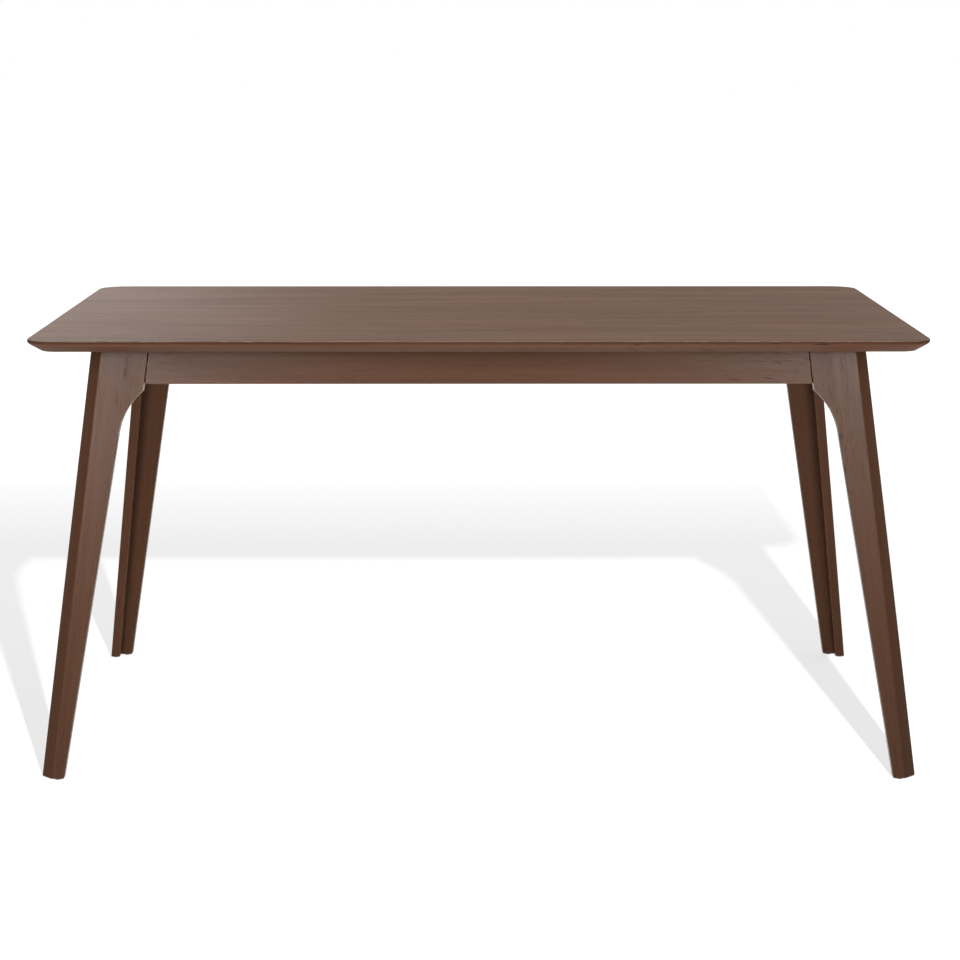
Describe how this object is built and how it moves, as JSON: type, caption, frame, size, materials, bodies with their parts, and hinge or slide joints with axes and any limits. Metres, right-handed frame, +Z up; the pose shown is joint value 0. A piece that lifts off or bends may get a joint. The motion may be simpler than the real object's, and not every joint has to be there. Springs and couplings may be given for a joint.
{
  "type": "splay-leg dining table",
  "caption": "Rectangular dining table with a bevelled, round-cornered veneered top on an inset apron and tapered, splayed L-section legs with curved ears.",
  "frame": {"origin": "on the floor, under the middle of the top", "axes": "+X along the table's length, +Y from its front to its back, +Z up"},
  "size_m": [1.5, 0.9, 0.752],
  "materials": {
    "walnut_veneer": "satin lacquered walnut veneer, grain along the table",
    "stained_wood": "solid wood stained walnut brown, satin lacquer",
    "core_board": "bare fibreboard, hidden in the top",
    "backing_veneer": "plain stained backing veneer, matt",
    "frame_wood": "bare hardwood with a thin wash of stain, matt",
    "dowel_wood": "bare beech",
    "zinc_steel": "bright zinc plate",
    "screw_steel": "yellow zinc plate",
    "glide_plastic": "dark brown nylon"
  },
  "bodies": {
    "root": {"top_face_veneer": "walnut_veneer", "top_core_panel": "core_board", "top_backing_veneer": "backing_veneer", "top_front_lipping": "stained_wood", "top_back_lipping": "stained_wood", "top_left_lipping": "stained_wood", "top_right_lipping": "stained_wood", "front_rail": "stained_wood", "back_rail": "stained_wood", "left_rail": "stained_wood", "right_rail": "stained_wood", "left_end_batten": "frame_wood", "right_end_batten": "frame_wood", "centre_cross_rail": "frame_wood", "leg_hanger_bolts": "zinc_steel", "leg_bolt_washers": "zinc_steel", "leg_bolt_nuts": "zinc_steel", "corner_brace_screws": "screw_steel", "top_fixing_screws": "screw_steel", "batten_screws": "screw_steel", "cross_rail_screws": "screw_steel", "cross_rail_dowels": "dowel_wood", "rail_end_dowels": "dowel_wood", "foot_glides": "glide_plastic", "front_left_leg_face_board": "stained_wood", "front_left_leg_side_board": "stained_wood", "front_left_leg_corner_block": "frame_wood", "front_left_corner_brace": "frame_wood", "front_left_top_batten": "frame_wood", "front_right_leg_face_board": "stained_wood", "front_right_leg_side_board": "stained_wood", "front_right_leg_corner_block": "frame_wood", "front_right_corner_brace": "frame_wood", "front_right_top_batten": "frame_wood", "back_left_leg_face_board": "stained_wood", "back_left_leg_side_board": "stained_wood", "back_left_leg_corner_block": "frame_wood", "back_left_corner_brace": "frame_wood", "back_left_top_batten": "frame_wood", "back_right_leg_face_board": "stained_wood", "back_right_leg_side_board": "stained_wood", "back_right_leg_corner_block": "frame_wood", "back_right_corner_brace": "frame_wood", "back_right_top_batten": "frame_wood"}
  },
  "joints": []
}
